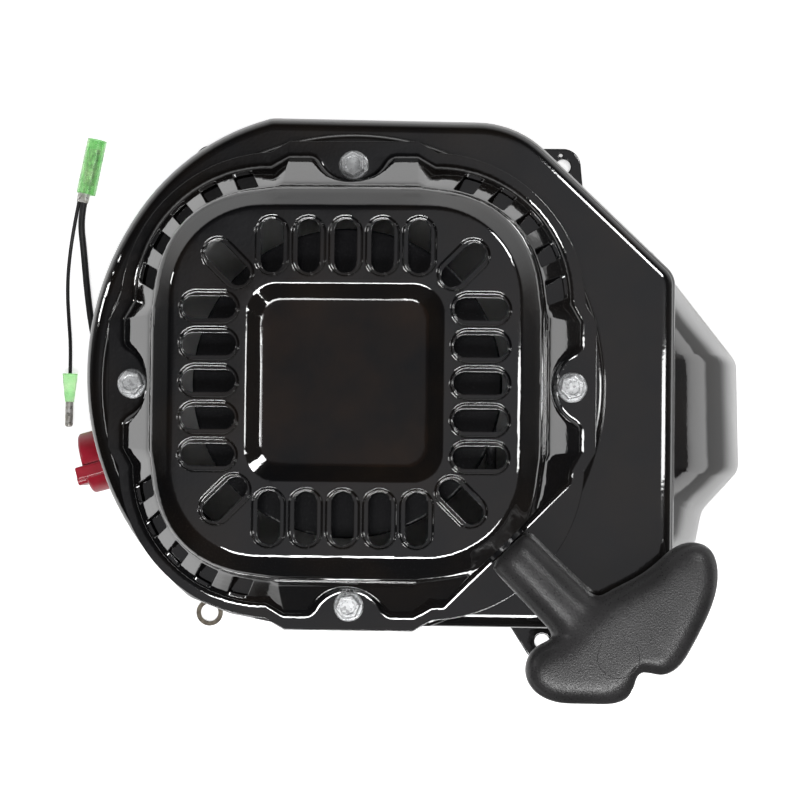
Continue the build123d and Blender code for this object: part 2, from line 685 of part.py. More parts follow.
# ============================ stop switch ===================================
# local x is height, local z is outward through the housing's left wall
bush_r = 6.0
with BuildPart() as switch_bezel:
    with BuildSketch(switch_plane.offset(-3)):
        Circle(14.6)
        Circle(bush_r + 0.05, mode=Mode.SUBTRACT)
    extrude(amount=5.2)
    add(housing_outside, mode=Mode.SUBTRACT)
switch_bezel.part.label = "switch_bezel"
export_step(switch_bezel.part, "parts/switch_bezel.step")

switch_back = -17.0
with BuildPart() as switch_body:
    with BuildSketch(switch_plane.offset(switch_back)):
        Circle(10.5)
    extrude(amount=-switch_back - 3.2)
    with BuildSketch(switch_plane.offset(-3.2)):
        Circle(bush_r)
    extrude(amount=5.1)
    with BuildSketch(switch_plane.offset(1.9)):
        Circle(3.0 + running_gap)
    extrude(amount=-15, mode=Mode.SUBTRACT)
switch_body.part.label = "switch_body"
export_step(switch_body.part, "parts/switch_body.step")

with BuildPart() as stop_knob:
    with BuildSketch(switch_plane.offset(2.6)):
        Circle(knob_r)
    extrude(amount=knob_lift - 2.6)
    fillet(stop_knob.faces().sort_by(Axis(switch_plane.origin, switch_plane.z_dir))[-1].edges(),
           1.6)
    with BuildSketch(switch_plane.offset(knob_lift - 1)):
        with Locations((0, -7.0)):
            RectangleRounded(21, 4.6, 2.0)
    extrude(amount=5.4)
    with BuildSketch(switch_plane.offset(2.6)):
        Circle(3.0)
    extrude(amount=-14)
stop_knob.part.label = "stop_knob"
export_step(stop_knob.part, "parts/stop_knob.step")

# two blades with flag terminals, whose crimps point to the rear
for number, across in ((1, 5.0), (2, -5.0)):
    with BuildPart() as switch_terminal:
        with BuildSketch(switch_plane.offset(switch_back)):
            with Locations((0, across)):
                Rectangle(6.3, 0.8)
        extrude(amount=-6)
    switch_terminal.part.label = f"switch_terminal_{number}"
    export_step(switch_terminal.part, f"parts/switch_terminal_{number}.step")
    crimp_top = switch_plane.from_local_coords((-3.15, across, switch_back - 3.2))
    with BuildPart() as terminal_crimp:
        with BuildSketch(Plane(origin=crimp_top, z_dir=(0, 0, -1))):
            Circle(2.3)
        extrude(amount=7)
    terminal_crimp.part.label = f"terminal_crimp_{number}"
    export_step(terminal_crimp.part, f"parts/terminal_crimp_{number}.step")

# ============================ leads =========================================
down = Vector(0, 0, -1)
lead_start_1 = switch_plane.from_local_coords((-10.15, 5.0, switch_back - 3.2))
lead_start_2 = switch_plane.from_local_coords((-10.15, -5.0, switch_back - 3.2))


def cord_tube(points, diameter):
    """Round tube along straight runs joined by arcs."""
    with BuildPart() as tube:
        with BuildLine() as route:
            FilletPolyline(*points, radius=cord_radii(points, diameter))
        with BuildSketch(Plane(origin=points[0], z_dir=Vector(*points[1]) - Vector(*points[0]))):
            Circle(diameter / 2)
        sweep()
    length = route.wire().length
    print("cord length", round(length, 1), "volume ratio",
          round(tube.part.volume / (length * pi * diameter ** 2 / 4), 4))
    return tube.part


connector_dir = Vector(6.0, 30.4, 0).normalized()
splice = Vector(-134.7, 88.8, 4.7)      # where the sleeved lead ends

sleeved_route = [tuple(lead_start_1), tuple(lead_start_1 + down * 11), (-95.5, -9, 3.2),
                 (-104, 4, 1.75), (-118, 10.8, 1.7), (-128.4, 19, 1.7), (-131.4, 34, 1.7),
                 (-133.5, 50, 1.7), (-134.9, 66, 2.6), tuple(splice - connector_dir * 8.5),
                 tuple(splice)]
with BuildPart() as lead_sleeved:
    add(cord_tube(sleeved_route, 3.2))
lead_sleeved.part.label = "lead_sleeved"
export_step(lead_sleeved.part, "parts/lead_sleeved.step")

# the crimp that holds both leads, and the socket in its clear sleeve
splice_plane = Plane(origin=splice, x_dir=(0, 0, 1), z_dir=connector_dir)
crimp_length, sleeve_gap = 5.0, 4.2
with BuildPart() as lead_splice:
    with BuildSketch(splice_plane):
        with Locations((0, -0.9)):
            RectangleRounded(4.4, 5.4, 1.4)
    extrude(amount=crimp_length)
lead_splice.part.label = "lead_splice"
export_step(lead_splice.part, "parts/lead_splice.step")

with BuildPart() as female_terminal:
    with BuildSketch(splice_plane.offset(crimp_length)):
        Circle(1.9)
    extrude(amount=4.5)
    with BuildSketch(splice_plane.offset(crimp_length + 4)):
        Circle(2.9)
    extrude(amount=17)
    with BuildSketch(splice_plane.offset(crimp_length + 7)):
        Circle(2.1)
    extrude(amount=20, mode=Mode.SUBTRACT)
female_terminal.part.label = "female_terminal"
export_step(female_terminal.part, "parts/female_terminal.step")

with BuildPart() as female_sleeve:
    with BuildSketch(splice_plane.offset(sleeve_gap)):
        Circle(4.6)
        Circle(3.8, mode=Mode.SUBTRACT)
    extrude(amount=26.5)
female_sleeve.part.label = "female_sleeve"
export_step(female_sleeve.part, "parts/female_sleeve.step")

male_plane = Plane(origin=(-140.4, 6.8, 3.8), x_dir=(0, 0, 1), z_dir=(-0.01, -1, 0))
branch_start = splice_plane.from_local_coords((-0.7, -2.6, 0))
branch_route = [tuple(branch_start), tuple(branch_start - connector_dir * 10), (-142.2, 62, 1.1),
                (-142.9, 47, 0.95), (-141.9, 32, 0.95),
                tuple(male_plane.from_local_coords((0, 0, -13))), tuple(male_plane.origin)]
with BuildPart() as lead_branch:
    add(cord_tube(branch_route, 1.8))
lead_branch.part.label = "lead_branch"
export_step(lead_branch.part, "parts/lead_branch.step")

boot_length, bullet_length = 13.5, 12.0
with BuildPart() as male_boot:
    with BuildSketch(male_plane):
        Circle(3.7)
    with BuildSketch(male_plane.offset(boot_length)):
        Circle(2.2)
    loft()
male_boot.part.label = "male_boot"
export_step(male_boot.part, "parts/male_boot.step")

with BuildPart() as male_bullet:
    with BuildSketch(male_plane.offset(boot_length)):
        Circle(1.9)
    extrude(amount=bullet_length)
    fillet(male_bullet.faces().sort_by(Axis.Y)[0].edges(), 1.2)
male_bullet.part.label = "male_bullet"
export_step(male_bullet.part, "parts/male_bullet.step")

# ground lead with its ring terminal
ring_spot = Vector(-72.0, -106.5, 0)
barrel_spot = Vector(-66.7, -89.6, 0)
ground_out = (ring_spot - barrel_spot).normalized()
barrel_length = (ring_spot - barrel_spot).length
with BuildPart() as ring_terminal:
    with BuildSketch(Plane(origin=barrel_spot + Vector(0, 0, 2.0), z_dir=ground_out)):
        Circle(2.0)
    extrude(amount=9)
    with BuildSketch(Plane(origin=barrel_spot + Vector(0, 0, 0.6), x_dir=ground_out,
                           z_dir=(0, 0, 1))):
        with Locations((barrel_length, 0)):
            Circle(6.3)
        with Locations((barrel_length / 2, 0)):
            Rectangle(barrel_length, 4)
        with Locations((barrel_length, 0)):
            Circle(4.2, mode=Mode.SUBTRACT)
    extrude(amount=0.9)
ring_terminal.part.label = "ring_terminal"
export_step(ring_terminal.part, "parts/ring_terminal.step")

ground_start = barrel_spot + Vector(0, 0, 2.0)
ground_route = [tuple(lead_start_2), tuple(lead_start_2 + down * 12), (-88, -46, 3.0),
                (-77, -60, 1.7), (-64, -69, 1.7), tuple(ground_start - ground_out * 9),
                tuple(ground_start)]
with BuildPart() as lead_ground:
    add(cord_tube(ground_route, 2.4))
lead_ground.part.label = "lead_ground"
export_step(lead_ground.part, "parts/lead_ground.step")
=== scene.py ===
from math import acos, cos, pi, radians, sin

import bmesh
import bpy
import numpy as np
from mathutils import Matrix, Vector


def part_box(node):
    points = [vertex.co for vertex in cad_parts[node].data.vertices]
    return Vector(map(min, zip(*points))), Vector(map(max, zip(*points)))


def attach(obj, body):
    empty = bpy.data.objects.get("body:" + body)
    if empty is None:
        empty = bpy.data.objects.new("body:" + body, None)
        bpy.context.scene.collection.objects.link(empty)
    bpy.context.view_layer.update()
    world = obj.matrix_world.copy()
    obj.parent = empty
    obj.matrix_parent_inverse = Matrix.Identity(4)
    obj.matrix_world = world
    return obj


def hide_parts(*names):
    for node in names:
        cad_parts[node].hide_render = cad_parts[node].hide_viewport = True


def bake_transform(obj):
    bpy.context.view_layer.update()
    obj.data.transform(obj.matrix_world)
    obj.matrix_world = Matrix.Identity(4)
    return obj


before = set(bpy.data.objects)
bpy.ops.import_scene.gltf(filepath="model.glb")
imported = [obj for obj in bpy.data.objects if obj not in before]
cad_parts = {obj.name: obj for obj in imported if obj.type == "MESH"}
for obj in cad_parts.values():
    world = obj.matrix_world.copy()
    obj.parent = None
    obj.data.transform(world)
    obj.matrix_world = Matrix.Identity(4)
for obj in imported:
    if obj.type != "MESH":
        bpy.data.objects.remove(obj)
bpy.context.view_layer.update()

scene = bpy.context.scene


# ---------------------------------------------------------------------------
# Objects, meshes and shader nodes. Each node helper returns its output socket.
def add_object(name, data):
    """Puts a mesh, curve, lamp or camera in the scene."""
    thing = bpy.data.objects.new(name, data)
    scene.collection.objects.link(thing)
    return thing


def mesh_from(shape, name):
    """Makes a mesh of a finished bmesh."""
    mesh = bpy.data.meshes.new(name)
    shape.to_mesh(mesh)
    shape.free()
    return mesh


def map_range(tree, value, reach, to=(0.0, 1.0), soft=False):
    """Maps a value's reach (low, high) to another range, in a soft S if asked."""
    spread = tree.nodes.new("ShaderNodeMapRange")
    if soft:
        spread.interpolation_type = "SMOOTHSTEP"
    for socket, number in zip(("From Min", "From Max", "To Min", "To Max"), (*reach, *to)):
        spread.inputs[socket].default_value = number
    tree.links.new(value, spread.inputs["Value"])
    return spread.outputs["Result"]


def colour_ramp(tree, value, stops, interpolation="LINEAR"):
    """Colours a value by stops of (position, colour), from low to high."""
    ramp = tree.nodes.new("ShaderNodeValToRGB")
    ramp.color_ramp.interpolation = interpolation
    elements = ramp.color_ramp.elements
    for number, (position, colour) in enumerate((stops[0], stops[-1])):
        elements[number].position = position
        elements[number].color = (*colour, 1)
    for position, colour in stops[1:-1]:
        elements.new(position).color = (*colour, 1)
    tree.links.new(value, ramp.inputs[0])
    return ramp.outputs["Color"]


def joined_by(tree, kind, *sources, operation=None):
    """A node of this kind whose first inputs are these sockets, in order."""
    node = tree.nodes.new(kind)
    if operation:
        node.operation = operation
    for number, source in enumerate(sources):
        tree.links.new(source, node.inputs[number])
    return node.outputs[0]


def seen_directly(tree, rays):
    """1 for what the camera sees, also through the clear sleeves, and else 0."""
    return joined_by(tree, "ShaderNodeMath", rays.outputs["Is Camera Ray"],
                     rays.outputs["Is Transmission Ray"], operation="MAXIMUM")


# ---------------------------------------------------------------------------
# Camera. It hangs almost straight above the starter, which lies on its open
# back, a little to the right of it, and is turned by a fraction of a degree.
camera_place = Vector((0.089, -0.040, 1.272))
camera_aim = Vector((0.0218, -0.0062, 0.072))
seen_width = 0.360                      # metres across the view, at the aim
camera_roll = radians(0.65)

camera = bpy.data.cameras.new("camera")
camera.sensor_width = 36.0
camera.lens = camera.sensor_width * (camera_place - camera_aim).length / seen_width
camera_object = add_object("camera", camera)
scene.camera = camera_object
backwards = (camera_place - camera_aim).normalized()
sideways = Vector((-sin(camera_roll), cos(camera_roll), 0)).cross(backwards).normalized()
upwards = backwards.cross(sideways)
camera_object.matrix_world = Matrix.Translation(camera_place) @ Matrix(
    (sideways, upwards, backwards)).transposed().to_4x4()
scene.view_settings.view_transform = "Standard"


# ---------------------------------------------------------------------------
# Studio. A white table in a dark room with a white wall behind it: glossy
# black paint shows the dim ceiling on its flat faces, the white table on its
# steep ones, and the soft boxes as thin white lines along its pressed edges.
table_white = (0.90, 0.90, 0.90)
table_left, table_right, table_front, table_back = -1.6, 1.6, -1.2, 2.0
table_lift = 0.62                       # glow that makes the table white to the camera
under_r, clear_r = 0.100, 0.112         # it starts between these, past the starter
ceiling = (0.125, 0.125, 0.13)          # what gloss sees straight above
dark_room = (0.012, 0.012, 0.012)       # and all round above the table
back_wall = 0.60                        # and on the wall behind it
fill_light = 0.48                       # what everything but gloss gets from the room
strip_shade = (0.72, 0.72, 0.72)

room = bpy.data.worlds.new("room")
room.use_nodes = True
scene.world = room
tree = room.node_tree
tree.nodes.clear()
rays = tree.nodes.new("ShaderNodeLightPath")
where = tree.nodes.new("ShaderNodeTexCoord").outputs["Generated"]
split = tree.nodes.new("ShaderNodeSeparateXYZ")
tree.links.new(where, split.inputs[0])
# the back wall fades out upwards and to its sides
wall_side = map_range(tree, split.outputs["Y"], (-0.15, 0.75), (0.0, back_wall), soft=True)
wall_height = map_range(tree, split.outputs["Z"], (0.0, 0.60), (1.0, 0.0), soft=True)
wall_gloss = tree.nodes.new("ShaderNodeBackground")
tree.links.new(joined_by(tree, "ShaderNodeMath", wall_side, wall_height, operation="MULTIPLY"),
               wall_gloss.inputs["Strength"])
# the ceiling is dimmer towards its far left corner
to_left = tree.nodes.new("ShaderNodeVectorMath")
to_left.operation = "DOT_PRODUCT"
to_left.inputs[1].default_value = (0.80, -0.60, 0.0)
tree.links.new(where, to_left.inputs[0])
ceiling_gloss = tree.nodes.new("ShaderNodeBackground")
tree.links.new(colour_ramp(tree, split.outputs["Z"], ((0.80, dark_room), (0.96, ceiling)), "EASE"),
               ceiling_gloss.inputs["Color"])
tree.links.new(map_range(tree, to_left.outputs["Value"], (-0.22, -0.06), (0.12, 1.0), soft=True),
               ceiling_gloss.inputs["Strength"])
seen_in_gloss = joined_by(tree, "ShaderNodeAddShader", wall_gloss.outputs[0],
                          ceiling_gloss.outputs[0])
room_light = tree.nodes.new("ShaderNodeBackground")
room_light.inputs["Strength"].default_value = fill_light
behind = tree.nodes.new("ShaderNodeBackground")
behind.inputs["Color"].default_value = (1, 1, 1, 1)
behind.inputs["Strength"].default_value = 1.0
gloss_or_light = joined_by(tree, "ShaderNodeMixShader", rays.outputs["Is Glossy Ray"],
                           room_light.outputs[0], seen_in_gloss)
camera_or_rest = joined_by(tree, "ShaderNodeMixShader", seen_directly(tree, rays),
                           gloss_or_light, behind.outputs[0])
sky = tree.nodes.new("ShaderNodeOutputWorld")
tree.links.new(camera_or_rest, sky.inputs[0])

table_mesh = bpy.data.meshes.new("table")
table_mesh.from_pydata([(table_left, table_front, 0), (table_right, table_front, 0),
                        (table_right, table_back, 0), (table_left, table_back, 0)],
                       [], [(0, 1, 2, 3)])
table = add_object("table", table_mesh)
table_paint = bpy.data.materials.new("table_white")
table_paint.use_nodes = True
tree = table_paint.node_tree
board = tree.nodes["Principled BSDF"]
board.inputs["Base Color"].default_value = (*table_white, 1)
board.inputs["Roughness"].default_value = 0.6
rays = tree.nodes.new("ShaderNodeLightPath")
where = tree.nodes.new("ShaderNodeTexCoord").outputs["Object"]
# round the starter the table looks white to the camera, and keeps the shadow
away = tree.nodes.new("ShaderNodeVectorMath")
away.operation = "LENGTH"
tree.links.new(where, away.inputs[0])
glow = tree.nodes.new("ShaderNodeEmission")
tree.links.new(map_range(tree, away.outputs["Value"], (under_r, clear_r), (0.0, table_lift)),
               glow.inputs["Strength"])
lifted = joined_by(tree, "ShaderNodeAddShader", board.outputs[0], glow.outputs[0])
# painted dark reflection: for glossy rays alone the table turns black in front, to the right of
# the middle
place = tree.nodes.new("ShaderNodeSeparateXYZ")
tree.links.new(where, place.inputs[0])
dark_reflection_mask = rays.outputs["Is Glossy Ray"]
for axis, bare, covered in (("X", -0.16, -0.06), ("Y", -0.14, -0.20)):
    side = map_range(tree, place.outputs[axis], (bare, covered), soft=True)
    dark_reflection_mask = joined_by(tree, "ShaderNodeMath", side, dark_reflection_mask, operation="MULTIPLY")
# and a soft dark strip close by on the right, also for glossy rays alone: a painted dark
# reflection on the air duct
strip = colour_ramp(tree, map_range(tree, place.outputs["X"], (0.18, 0.32)),
                    ((0.04, (0, 0, 0)), (0.27, strip_shade), (0.68, strip_shade),
                     (0.92, (0, 0, 0))), "EASE")
in_gloss = joined_by(tree, "ShaderNodeMath", strip, rays.outputs["Is Glossy Ray"],
                     operation="MULTIPLY")
darkest = joined_by(tree, "ShaderNodeMath", dark_reflection_mask, in_gloss, operation="MAXIMUM")
# painted dark reflection: a black sheet mixed in only where glossy rays meet the table
painted_dark_reflection = tree.nodes.new("ShaderNodeBsdfDiffuse")
painted_dark_reflection.inputs["Color"].default_value = (0.02, 0.02, 0.02, 1)
laid = joined_by(tree, "ShaderNodeMixShader", darkest, board.outputs[0], painted_dark_reflection.outputs[0])
seen = joined_by(tree, "ShaderNodeMixShader", seen_directly(tree, rays), laid, lifted)
tree.links.new(seen, tree.nodes["Material Output"].inputs["Surface"])
table_mesh.materials.append(table_paint)


def soft_box(name, place, size, watts, aim=(0.02, 0.0, 0.08)):
    """A rectangular lamp that faces the starter."""
    lamp = bpy.data.lights.new(name, "AREA")
    lamp.shape = "RECTANGLE"
    lamp.size, lamp.size_y = size
    lamp.energy = watts
    lamp_object = add_object(name, lamp)
    lamp_object.location = place
    towards = Vector(aim) - Vector(place)
    lamp_object.rotation_euler = towards.to_track_quat("-Z", "Y").to_euler()


soft_box("front_box", (0.07, -0.54, 1.25), (0.90, 0.26), 10.5)
soft_box("right_box", (0.62, 0.02, 1.22), (0.12, 0.50), 1.1)
soft_box("corner_box", (0.56, 0.54, 1.15), (0.26, 0.26), 2.6)
soft_box("left_box", (-1.10, 0.30, 0.80), (0.12, 0.24), 0.9)


# ---------------------------------------------------------------------------
# Blower housing and its ears. One deep-drawn pressing of 1.5 mm sheet steel,
# open at the back, with the ears spot-welded to its rim, dipped and stoved in
# gloss black enamel. The enamel runs a little and lies in faint orange peel.
enamel_black = (0.005, 0.005, 0.0055)
enamel_warm = (0.012, 0.009, 0.007)


def new_material(name, colour, roughness, metallic=0.0, ior=1.5):
    """A material whose shader is ready, with its tree and its shader."""
    material = bpy.data.materials.new(name)
    material.use_nodes = True
    shader = material.node_tree.nodes["Principled BSDF"]
    shader.inputs["Base Color"].default_value = (*colour, 1)
    shader.inputs["Roughness"].default_value = roughness
    shader.inputs["Metallic"].default_value = metallic
    shader.inputs["IOR"].default_value = ior
    return material, material.node_tree, shader


def grain(tree, scale, detail=2.0, roughness=0.5, stretch=None):
    """Noise in the piece's own coordinates; scale is in features per metre."""
    where = tree.nodes.new("ShaderNodeTexCoord")
    noise = tree.nodes.new("ShaderNodeTexNoise")
    noise.inputs["Scale"].default_value = scale
    noise.inputs["Detail"].default_value = detail
    noise.inputs["Roughness"].default_value = roughness
    if stretch:
        turn = tree.nodes.new("ShaderNodeMapping")
        turn.inputs["Scale"].default_value = stretch
        tree.links.new(where.outputs["Object"], turn.inputs["Vector"])
        tree.links.new(turn.outputs[0], noise.inputs["Vector"])
    else:
        tree.links.new(where.outputs["Object"], noise.inputs["Vector"])
    return noise.outputs["Fac"]


def between(tree, fac, low, high):
    """Maps noise to the range low..high."""
    return map_range(tree, fac, (0.35, 0.65), (low, high))


def two_colours(tree, fac, low, high, from_low=0.35, from_high=0.65):
    """Blends two colours by noise."""
    return colour_ramp(tree, fac, ((from_low, low), (from_high, high)))


def relief(tree, shader, layers, edge_r=0.0):
    """Stacks bump layers of (noise, depth in metres), over edges rounded to edge_r."""
    normal = None
    if edge_r:
        rounded = tree.nodes.new("ShaderNodeBevel")
        rounded.samples = 6
        rounded.inputs["Radius"].default_value = edge_r
        normal = rounded.outputs[0]
    for fac, depth in layers:
        bump = tree.nodes.new("ShaderNodeBump")
        bump.inputs["Distance"].default_value = depth
        tree.links.new(fac, bump.inputs["Height"])
        if normal:
            tree.links.new(normal, bump.inputs["Normal"])
        normal = bump.outputs[0]
    tree.links.new(normal, shader.inputs["Normal"])
    if "Coat Normal" in shader.inputs:
        tree.links.new(normal, shader.inputs["Coat Normal"])


def gloss_enamel(name, wave_depth, gloss_ior=2.0, warm=enamel_warm, edge_r=0.0011):
    """Stoved black enamel on pressed steel."""
    material, tree, shader = new_material(name, enamel_black, 0.09, ior=gloss_ior)
    shader.inputs["Coat Weight"].default_value = 1.0
    shader.inputs["Coat IOR"].default_value = gloss_ior
    shader.inputs["Coat Roughness"].default_value = 0.03
    cloud = grain(tree, 28, detail=4)
    tree.links.new(two_colours(tree, cloud, enamel_black, warm, 0.40, 0.75),
                   shader.inputs["Base Color"])
    tree.links.new(between(tree, grain(tree, 90, detail=3), 0.04, 0.075),
                   shader.inputs["Roughness"])
    relief(tree, shader, [(grain(tree, 22, detail=1), wave_depth),
                          (grain(tree, 650, detail=1), 0.000010)], edge_r=edge_r)
    return material


def finish_nodes(material, *names):
    """Gives CAD pieces their material."""
    for name in names:
        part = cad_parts[name]
        for slot in part.material_slots:
            slot.material = material


housing_enamel = gloss_enamel("housing_enamel", 0.00035)
finish_nodes(housing_enamel, "blower_housing", "ear_top_right", "ear_top_left",
             "ear_lower_right")


# ---------------------------------------------------------------------------
# Weld nuts. Plain M6 square-shouldered nuts projection-welded under the front
# face, partly painted over with the housing.
nut_material, tree, shader = new_material("nut_steel", (0.10, 0.10, 0.10), 0.45, metallic=0.6)
tree.links.new(two_colours(tree, grain(tree, 300, detail=4), (0.02, 0.02, 0.02),
                           (0.30, 0.29, 0.28)), shader.inputs["Base Color"])
relief(tree, shader, [(grain(tree, 900), 0.00005)], edge_r=0.0003)
finish_nodes(nut_material, *[f"weld_nut_{n}" for n in range(1, 5)])


# ---------------------------------------------------------------------------
# Recoil cover. A second pressing of 1.6 mm steel with punched windows and
# slots, stoved in the same enamel; four bolts hold its flange on the housing.
# Its shoulder is drawn fuller and rounder here than in the plain solid.
flange_top, shoulder_z, plateau_z = 0.0766, 0.106, 0.119
shoulder_lift = 0.0048
flare_z, flare_drop = 0.1045, 0.0125
side_swell, corner_draw = 0.0022, -0.0012
plateau_half, plateau_corner_r = 0.0763, 0.040
plateau_fade = (-0.0035, -0.0005)       # from the plateau's edge inwards nothing moves
corner_centre = 0.042
shoulder_blend = 0.6                    # how widely the wall's rise meets the top's fall
flare_end = shoulder_z + 0.002
guide_from, guide_fade = 0.09, (0.011, 0.024)   # the flat for the rope guide
half_diagonal = 0.7071
wall_levels = [0.078 + 0.0020 * step for step in range(12)]
shoulder_levels = [0.1020 + 0.0007 * step for step in range(17)]
plateau_levels = [0.115, 0.117]
upright_cuts = [0.008 * step for step in range(-12, 13)]
cut_reach = 0.05                        # faces whose middle is this near take a cut
sharp_edge = radians(32)


def smooth_step(low, high, value):
    """0 up to low, 1 from high, and a soft S between them."""
    share = min(max((value - low) / (high - low), 0.0), 1.0)
    return share * share * (3 - 2 * share)


def drawn_shoulder(place):
    """Where the drawing tool leaves a point of the plain cover."""
    x, y, z = place
    rise = (z - flange_top) / (shoulder_z - flange_top)
    fall = (plateau_z - z) / (plateau_z - shoulder_z)
    share = min(max(0.5 + 0.5 * (fall - rise) / shoulder_blend, 0.0), 1.0)
    amount = fall + (rise - fall) * share - shoulder_blend * share * (1 - share)
    if amount <= 0:
        return place
    # the wall flares out below and is steep close under the shoulder
    lift = shoulder_lift * amount
    if flange_top < z < flare_end:
        flare = min((z - flange_top) / (flare_z - flange_top), 1.0)
        lift -= flare_drop * flare * (1 - smooth_step(flare_z, flare_end, z))
    # nothing moves on the plateau, nor where the rope guide sits
    flat = plateau_half - plateau_corner_r
    over_x, over_y = abs(x) - flat, abs(y) - flat
    outside = (Vector((max(over_x, 0), max(over_y, 0))).length
               + min(max(over_x, over_y), 0) - plateau_corner_r)
    free = smooth_step(*plateau_fade, outside)
    if x - y > guide_from:
        free *= smooth_step(*guide_fade, abs(x + y) * half_diagonal)
    way = Vector((max(abs(x) - corner_centre, 0), max(abs(y) - corner_centre, 0)))
    if way.length > 0:
        cornering = 2 * abs(x * y) / (x * x + y * y)
        swell = side_swell + (corner_draw - side_swell) * smooth_step(0.6, 1.0, cornering)
        way = way.normalized() * swell * amount * free
    return Vector((x + (way.x if x > 0 else -way.x), y + (way.y if y > 0 else -way.y),
                   z + lift * free))


cover_bmesh = bmesh.new()
cover_bmesh.from_mesh(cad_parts["recoil_cover"].data)
bmesh.ops.remove_doubles(cover_bmesh, verts=cover_bmesh.verts, dist=1e-6)
for level in wall_levels + shoulder_levels + plateau_levels:
    bmesh.ops.bisect_plane(cover_bmesh, geom=cover_bmesh.verts[:] + cover_bmesh.edges[:]
                           + cover_bmesh.faces[:], dist=1e-7, plane_co=(0, 0, level),
                           plane_no=(0, 0, 1))
# and upright cuts, so that the long straight walls can swell
for across in upright_cuts:
    for normal in ((1, 0, 0), (0, 1, 0)):
        reach = [face for face in cover_bmesh.faces
                 if abs(face.calc_center_median().dot(Vector(normal)) - across) < cut_reach]
        parts = set()
        for face in reach:
            parts.add(face)
            parts.update(face.edges)
            parts.update(face.verts)
        bmesh.ops.bisect_plane(cover_bmesh, geom=list(parts), dist=1e-7,
                               plane_co=Vector(normal) * across, plane_no=normal)
for vert in cover_bmesh.verts:
    vert.co = drawn_shoulder(vert.co)
bmesh.ops.triangulate(cover_bmesh, faces=cover_bmesh.faces)
cover_bmesh.normal_update()
for edge in cover_bmesh.edges:
    edge.smooth = len(edge.link_faces) == 2 and edge.calc_face_angle(0) < sharp_edge
for face in cover_bmesh.faces:
    face.smooth = True
cover_mesh = mesh_from(cover_bmesh, "recoil_cover_pressing")
if "custom_normal" in cover_mesh.attributes:
    cover_mesh.attributes.remove(cover_mesh.attributes["custom_normal"])
cover_mesh.materials.clear()
cover_mesh.materials.append(gloss_enamel("cover_enamel", 0.0005, edge_r=0.0006))
# the badge's recess is left bare, with a thinner and browner coat
cover_mesh.materials.append(gloss_enamel("badge_enamel", 0.0003, gloss_ior=1.52,
                                         warm=(0.016, 0.010, 0.007)))
badge_half, badge_floor = 0.0365, (0.1140, 0.1158)
for face in cover_mesh.polygons:
    in_badge = max(abs(face.center.x), abs(face.center.y)) < badge_half
    if in_badge and badge_floor[0] < face.center.z < badge_floor[1]:
        face.material_index = 1
cover = add_object("recoil_cover_pressing", cover_mesh)
even = cover.modifiers.new("even_normals", "WEIGHTED_NORMAL")
even.keep_sharp = True
even.weight = 60
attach(cover, "housing")
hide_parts("recoil_cover")


# ---------------------------------------------------------------------------
# Flange bolts. Four M6 hexagon flange bolts in bright zinc plate.
zinc, tree, shader = new_material("bright_zinc", (0.74, 0.75, 0.76), 0.30, metallic=0.58)
tree.links.new(between(tree, grain(tree, 700, detail=3), 0.18, 0.42), shader.inputs["Roughness"])
tree.links.new(two_colours(tree, grain(tree, 260, detail=3), (0.60, 0.61, 0.62),
                           (0.86, 0.87, 0.88)), shader.inputs["Base Color"])
relief(tree, shader, [(grain(tree, 400, detail=2), 0.00003)], edge_r=0.0004)
finish_nodes(zinc, *[f"flange_bolt_{n}" for n in range(1, 5)])


# ---------------------------------------------------------------------------
# Turned and pressed steel inside: the post riveted under the badge, its screw,
# the pawls on their pins, the friction plate and the washer of the rope's knot.
bare_steel, tree, shader = new_material("bare_steel", (0.55, 0.55, 0.54), 0.32, metallic=1.0)
tree.links.new(between(tree, grain(tree, 500, detail=3), 0.22, 0.45), shader.inputs["Roughness"])
relief(tree, shader, [(grain(tree, 600, detail=2, stretch=(1, 1, 8)), 0.00003)], edge_r=0.0002)
finish_nodes(bare_steel, "centre_post", "centre_screw", "pawl_pin_1", "pawl_pin_2",
             "friction_plate", "knot_washer", "pawl_1", "pawl_2")


# ---------------------------------------------------------------------------
# Springs. Blued, oiled strip for the recoil spring, and a ring of round wire
# that presses the friction plate on the post.
blued, tree, shader = new_material("blued_steel", (0.20, 0.22, 0.27), 0.25, metallic=1.0)
tree.links.new(between(tree, grain(tree, 300, detail=3), 0.15, 0.40), shader.inputs["Roughness"])
relief(tree, shader, [(grain(tree, 800), 0.00002)], edge_r=0.0001)
finish_nodes(blued, "recoil_spring", "friction_spring")


# ---------------------------------------------------------------------------
# Reel and rope guide. Moulded in glass-filled nylon, dull black with a faint
# sparkle of glass.
nylon, tree, shader = new_material("reel_nylon", (0.008, 0.008, 0.009), 0.17)
tree.links.new(two_colours(tree, grain(tree, 1800, detail=2), (0.006, 0.006, 0.007),
                           (0.016, 0.016, 0.017), 0.5, 0.75), shader.inputs["Base Color"])
relief(tree, shader, [(grain(tree, 1500, detail=2), 0.00004)], edge_r=0.0004)
finish_nodes(nylon, "reel", "rope_guide")


# ---------------------------------------------------------------------------
# Starter rope. Braided nylon cord of 4.5 mm. The solid on the reel stands in for
# its winding with three closed rings. From there it runs out through the guide
# and up the handle, where a stopper knot ends it.
pull_way = Vector((0.70711, -0.70711, 0))
across_way = Vector((0.70711, 0.70711, 0))
rope_z, rope_r, knot_seat = 0.096, 0.00225, 0.166
rope_sides, braid_depth, braid_pitch = 24, 0.00022, 0.012
guide_mouth, neck_inside = 0.0905, 0.126     # the rope pays out between these
knot_r, knot_turns, knot_length = 0.0031, 1.8, 0.0085
knot_start = knot_seat + 0.003               # the knot lies behind its washer
leave_steps, pull_steps, knot_steps = 12, 150, 40
swing_steps = 6                              # the knot opens to its full width in these

